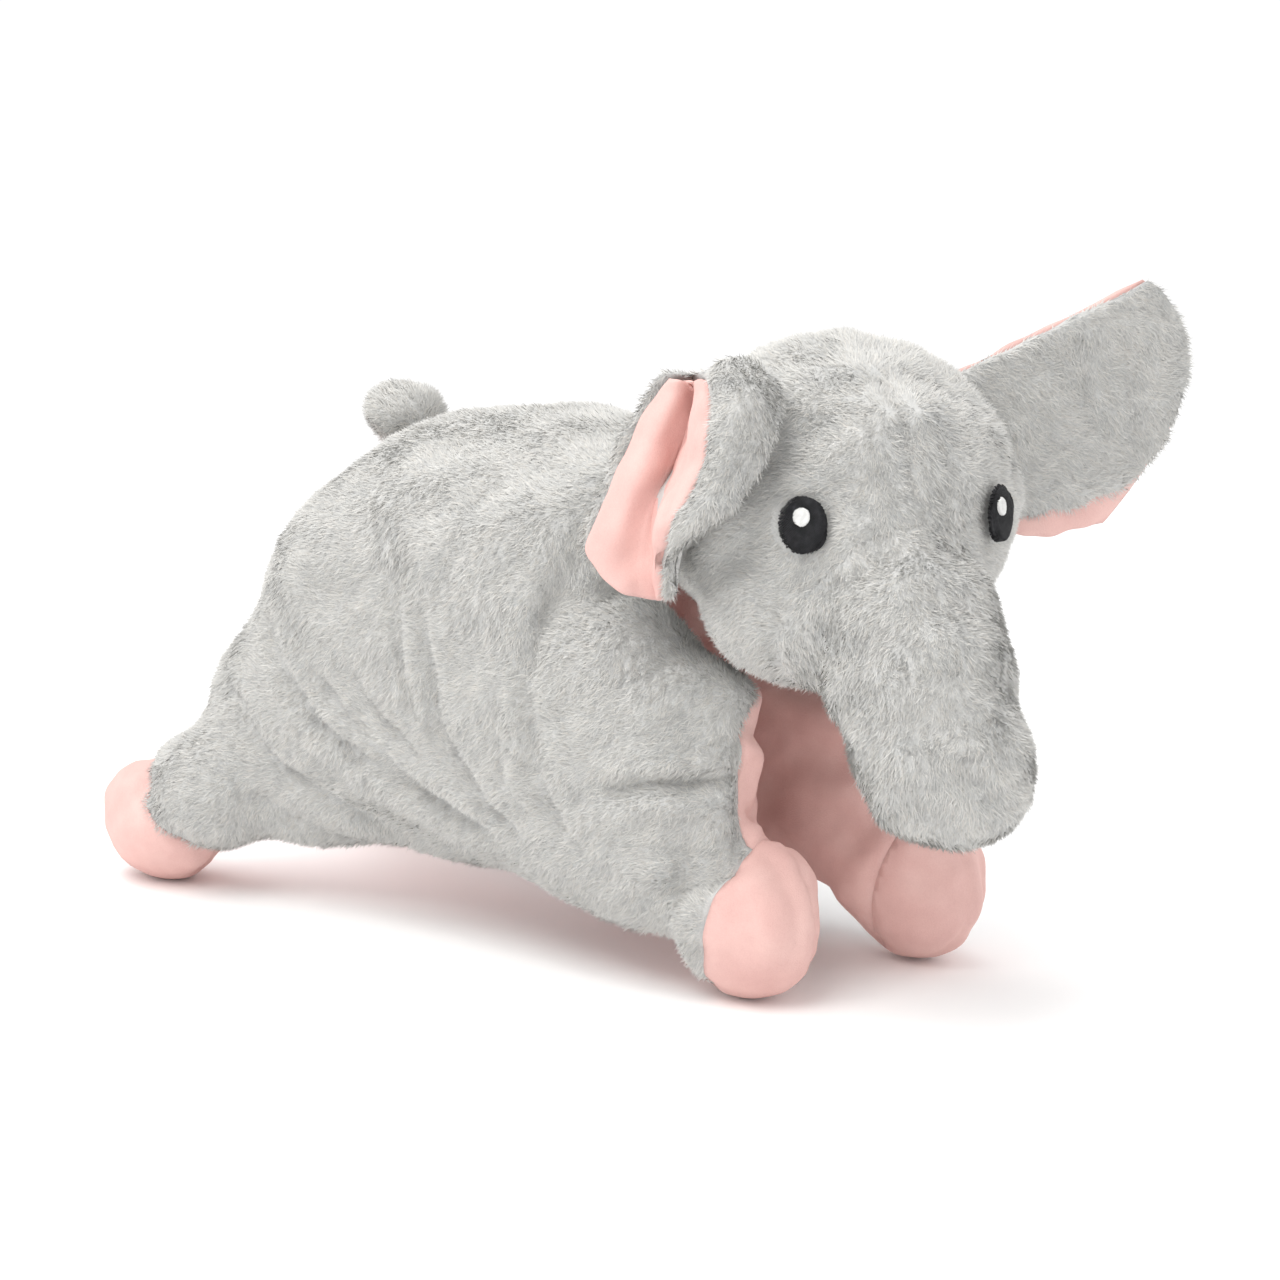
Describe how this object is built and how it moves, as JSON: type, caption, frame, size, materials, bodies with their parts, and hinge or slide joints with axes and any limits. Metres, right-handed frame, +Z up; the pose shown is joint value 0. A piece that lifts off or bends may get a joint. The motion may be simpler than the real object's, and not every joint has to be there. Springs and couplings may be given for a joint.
{
  "type": "stuffed elephant pillow",
  "caption": "Plush elephant that unfolds into a pillow: padded body folded along the back, strap under the belly, stuffed head, trunk, cupped ears, tail and velour feet.",
  "frame": {"origin": "middle of the footprint, on the surface the toy stands on", "axes": "+Z up, the head towards -Y and the tail towards +Y, the elephant's right side at -X"},
  "size_m": [0.2754, 0.5242, 0.3098],
  "materials": {
    "grey_plush": "short mottled grey pile",
    "pink_velour": "smooth pale pink velour",
    "polyester_fill": "loose white fibre",
    "black_thread": "black satin stitch",
    "white_thread": "white satin stitch",
    "hook_and_loop_tape": "hook and loop tape"
  },
  "bodies": {
    "back": {"spine_back_cover": "grey_plush", "spine_belly_cover": "pink_velour", "spine_stuffing": "polyester_fill"},
    "right_half": {"right_side_cover": "grey_plush", "right_belly_cover": "pink_velour", "right_stuffing": "polyester_fill", "right_front_foot": "pink_velour", "right_rear_foot": "pink_velour"},
    "left_half": {"left_side_cover": "grey_plush", "left_belly_cover": "pink_velour", "left_stuffing": "polyester_fill", "left_front_foot": "pink_velour", "left_rear_foot": "pink_velour", "strap_loop_patch": "hook_and_loop_tape"},
    "strap": {"closure_strap": "pink_velour", "strap_hook_patch": "hook_and_loop_tape"},
    "head": {"head_cover": "grey_plush", "head_stuffing": "polyester_fill", "right_eye": "black_thread", "right_eye_glint": "white_thread", "left_eye": "black_thread", "left_eye_glint": "white_thread"},
    "trunk": {"trunk_cover": "grey_plush", "trunk_stuffing": "polyester_fill"},
    "right_ear": {"right_ear_fur": "grey_plush", "right_ear_lining": "pink_velour"},
    "left_ear": {"left_ear_fur": "grey_plush", "left_ear_lining": "pink_velour"},
    "tail": {"tail_cover": "grey_plush", "tail_stuffing": "polyester_fill"}
  },
  "joints": [
    {"name": "right_fold", "type": "hinge", "parent": "back", "child": "right_half", "pos_m": [-0.04378, 0.04309, 0.254], "axis": [0, 1, 0], "range_deg": [0, 78]},
    {"name": "left_fold", "type": "hinge", "parent": "back", "child": "left_half", "pos_m": [0.01222, 0.04309, 0.254], "axis": [0, 1, 0], "range_deg": [-78, 0]},
    {"name": "strap_peel", "type": "hinge", "parent": "right_half", "child": "strap", "pos_m": [-0.03251, 0, 0.062], "axis": [0, 1, 0], "range_deg": [0, 30]},
    {"name": "head_turn", "type": "hinge", "parent": "back", "child": "head", "pos_m": [-0.01078, -0.13491, 0.217], "axis": [0, 0, 1], "range_deg": [0, 25], "stiffness_Nm_per_rad": 0.6},
    {"name": "trunk_swing", "type": "hinge", "parent": "head", "child": "trunk", "pos_m": [-0.04423, -0.19526, 0.177], "axis": [0.8746, -0.4848, 0], "range_deg": [-24, 4], "stiffness_Nm_per_rad": 0.3},
    {"name": "right_ear_flap", "type": "hinge", "parent": "head", "child": "right_ear", "pos_m": [-0.08463, -0.10312, 0.197], "axis": [0.1715, -0.0951, 0.9806], "range_deg": [-14, 14], "stiffness_Nm_per_rad": 0.08},
    {"name": "left_ear_flap", "type": "hinge", "parent": "head", "child": "left_ear", "pos_m": [0.05337, -0.18419, 0.203], "axis": [-0.2067, 0.1146, 0.9717], "range_deg": [-14, 14], "stiffness_Nm_per_rad": 0.1},
    {"name": "tail_wag", "type": "hinge", "parent": "back", "child": "tail", "pos_m": [-0.01578, 0.12109, 0.229], "axis": [1, 0, 0], "range_deg": [-15, 30], "stiffness_Nm_per_rad": 0.02}
  ]
}
